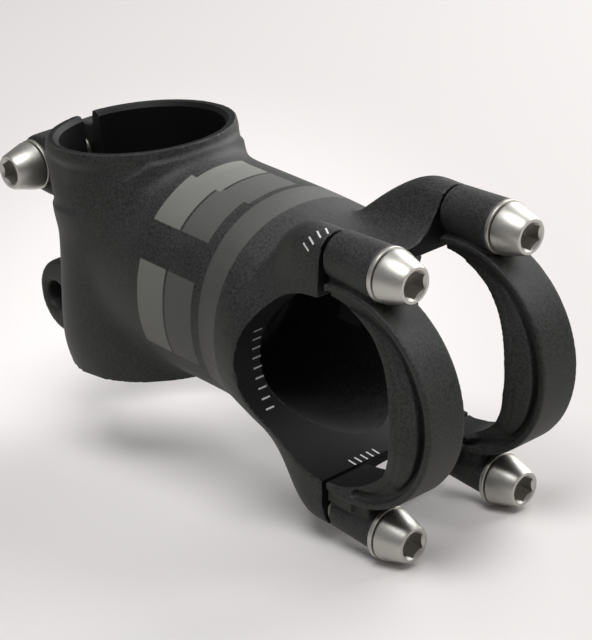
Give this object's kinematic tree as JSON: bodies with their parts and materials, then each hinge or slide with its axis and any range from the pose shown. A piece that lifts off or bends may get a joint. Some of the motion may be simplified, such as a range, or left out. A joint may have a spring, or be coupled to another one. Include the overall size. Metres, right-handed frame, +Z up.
{
  "type": "handlebar stem",
  "caption": "Short threadless handlebar stem: a forged black body with a slit rear clamp held by opposed pinch bolts, and a bar clamp closed by two separate C-shaped bands with tapered bolts.",
  "frame": {"origin": "steerer bore axis at the clamp's lower face", "axes": "+Z up the steerer, +X forward towards the handlebar, +Y to the rider's left along the bar"},
  "size_m": [0.1083, 0.0416, 0.057],
  "materials": {
    "forged_body": "bead-blasted, black anodised",
    "faceplate": "bead-blasted, black anodised",
    "bolt": "satin stainless",
    "washer": "satin stainless"
  },
  "bodies": {
    "stem": {"stem_body": "forged_body"},
    "right_band": {"faceplate_band_right": "faceplate"},
    "left_band": {"faceplate_band_left": "faceplate"},
    "upper_right_washer": {"washer_upper_right": "washer"},
    "upper_right_bolt": {"face_bolt_upper_right": "bolt"},
    "upper_left_washer": {"washer_upper_left": "washer"},
    "upper_left_bolt": {"face_bolt_upper_left": "bolt"},
    "lower_right_washer": {"washer_lower_right": "washer"},
    "lower_right_bolt": {"face_bolt_lower_right": "bolt"},
    "lower_left_washer": {"washer_lower_left": "washer"},
    "lower_left_bolt": {"face_bolt_lower_left": "bolt"},
    "pinch_upper_washer": {"pinch_washer_upper": "washer"},
    "pinch_upper_bolt": {"pinch_bolt_upper": "bolt"},
    "pinch_lower_washer": {"pinch_washer_lower": "washer"},
    "pinch_lower_bolt": {"pinch_bolt_lower": "bolt"}
  },
  "joints": [
    {"name": "right_band_off", "type": "slide", "parent": "stem", "child": "right_band", "axis": [0.9925, 0, -0.1219], "range_m": [0, 0.03]},
    {"name": "left_band_off", "type": "slide", "parent": "stem", "child": "left_band", "axis": [0.9925, 0, -0.1219], "range_m": [0, 0.03]},
    {"name": "upper_right_back_out", "type": "slide", "parent": "right_band", "child": "upper_right_washer", "axis": [0.9925, 0, -0.1219], "range_m": [0, 0.0048]},
    {"name": "upper_right_turn", "type": "hinge", "parent": "upper_right_washer", "child": "upper_right_bolt", "pos_m": [0.07248, -0.0125, 0.03207], "axis": [0.9925, 0, -0.1219], "range_deg": [0, 2160]},
    {"name": "upper_left_back_out", "type": "slide", "parent": "left_band", "child": "upper_left_washer", "axis": [0.9925, 0, -0.1219], "range_m": [0, 0.0048]},
    {"name": "upper_left_turn", "type": "hinge", "parent": "upper_left_washer", "child": "upper_left_bolt", "pos_m": [0.07248, 0.0125, 0.03207], "axis": [0.9925, 0, -0.1219], "range_deg": [0, 2160]},
    {"name": "lower_right_back_out", "type": "slide", "parent": "right_band", "child": "lower_right_washer", "axis": [0.9925, 0, -0.1219], "range_m": [0, 0.0048]},
    {"name": "lower_right_turn", "type": "hinge", "parent": "lower_right_washer", "child": "lower_right_bolt", "pos_m": [0.06707, -0.0125, -0.012], "axis": [0.9925, 0, -0.1219], "range_deg": [0, 2160]},
    {"name": "lower_left_back_out", "type": "slide", "parent": "left_band", "child": "lower_left_washer", "axis": [0.9925, 0, -0.1219], "range_m": [0, 0.0048]},
    {"name": "lower_left_turn", "type": "hinge", "parent": "lower_left_washer", "child": "lower_left_bolt", "pos_m": [0.06707, 0.0125, -0.012], "axis": [0.9925, 0, -0.1219], "range_deg": [0, 2160]},
    {"name": "pinch_upper_back_out", "type": "slide", "parent": "stem", "child": "pinch_upper_washer", "axis": [0, -1, 0], "range_m": [0, 0.0032]},
    {"name": "pinch_upper_turn", "type": "hinge", "parent": "pinch_upper_washer", "child": "pinch_upper_bolt", "pos_m": [-0.02095, -0.0083, 0.03265], "axis": [0, -1, 0], "range_deg": [0, 1440]},
    {"name": "pinch_lower_back_out", "type": "slide", "parent": "stem", "child": "pinch_lower_washer", "axis": [0, 1, 0], "range_m": [0, 0.0032]},
    {"name": "pinch_lower_turn", "type": "hinge", "parent": "pinch_lower_washer", "child": "pinch_lower_bolt", "pos_m": [-0.02095, 0.0083, 0.00785], "axis": [0, 1, 0], "range_deg": [0, 1440]}
  ],
  "couplings": [
    {"joint": "upper_right_turn", "follows": "upper_right_back_out", "rad_per_m": 7854},
    {"joint": "upper_left_turn", "follows": "upper_left_back_out", "rad_per_m": 7854},
    {"joint": "lower_right_turn", "follows": "lower_right_back_out", "rad_per_m": 7854},
    {"joint": "lower_left_turn", "follows": "lower_left_back_out", "rad_per_m": 7854},
    {"joint": "pinch_upper_turn", "follows": "pinch_upper_back_out", "rad_per_m": 7854},
    {"joint": "pinch_lower_turn", "follows": "pinch_lower_back_out", "rad_per_m": 7854}
  ]
}
